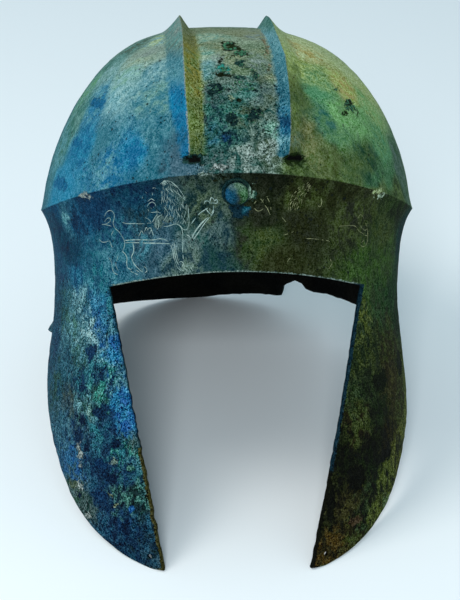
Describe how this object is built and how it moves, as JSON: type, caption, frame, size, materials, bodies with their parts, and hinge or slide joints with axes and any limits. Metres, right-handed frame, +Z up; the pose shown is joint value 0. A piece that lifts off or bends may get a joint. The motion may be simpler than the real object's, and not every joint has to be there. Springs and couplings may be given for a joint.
{
  "type": "illyrian helmet",
  "caption": "Open-faced hammered bronze helmet with a ridged crest channel, a brow knob, long cheek guards and a flared neck guard.",
  "frame": {"origin": "centre of the bounding box's base, on the surface that the helmet stands on", "axes": "+Z up; the face opening looks towards -Y, the nape towards +Y, the wearer's left is +X; the helmet stands by itself on both cheek tips and the neck rim, leaned back 20.7 degrees from how it is worn"},
  "size_m": [0.1958, 0.2774, 0.2236],
  "materials": {
    "bronze_sheet": "matt corroded bronze, blue and teal on the wearer's right, green and dark olive on the left",
    "bronze_knob": "matt corroded bronze, blue-green"
  },
  "bodies": {
    "root": {"helmet_shell": "bronze_sheet", "brow_knob": "bronze_knob"}
  },
  "joints": []
}
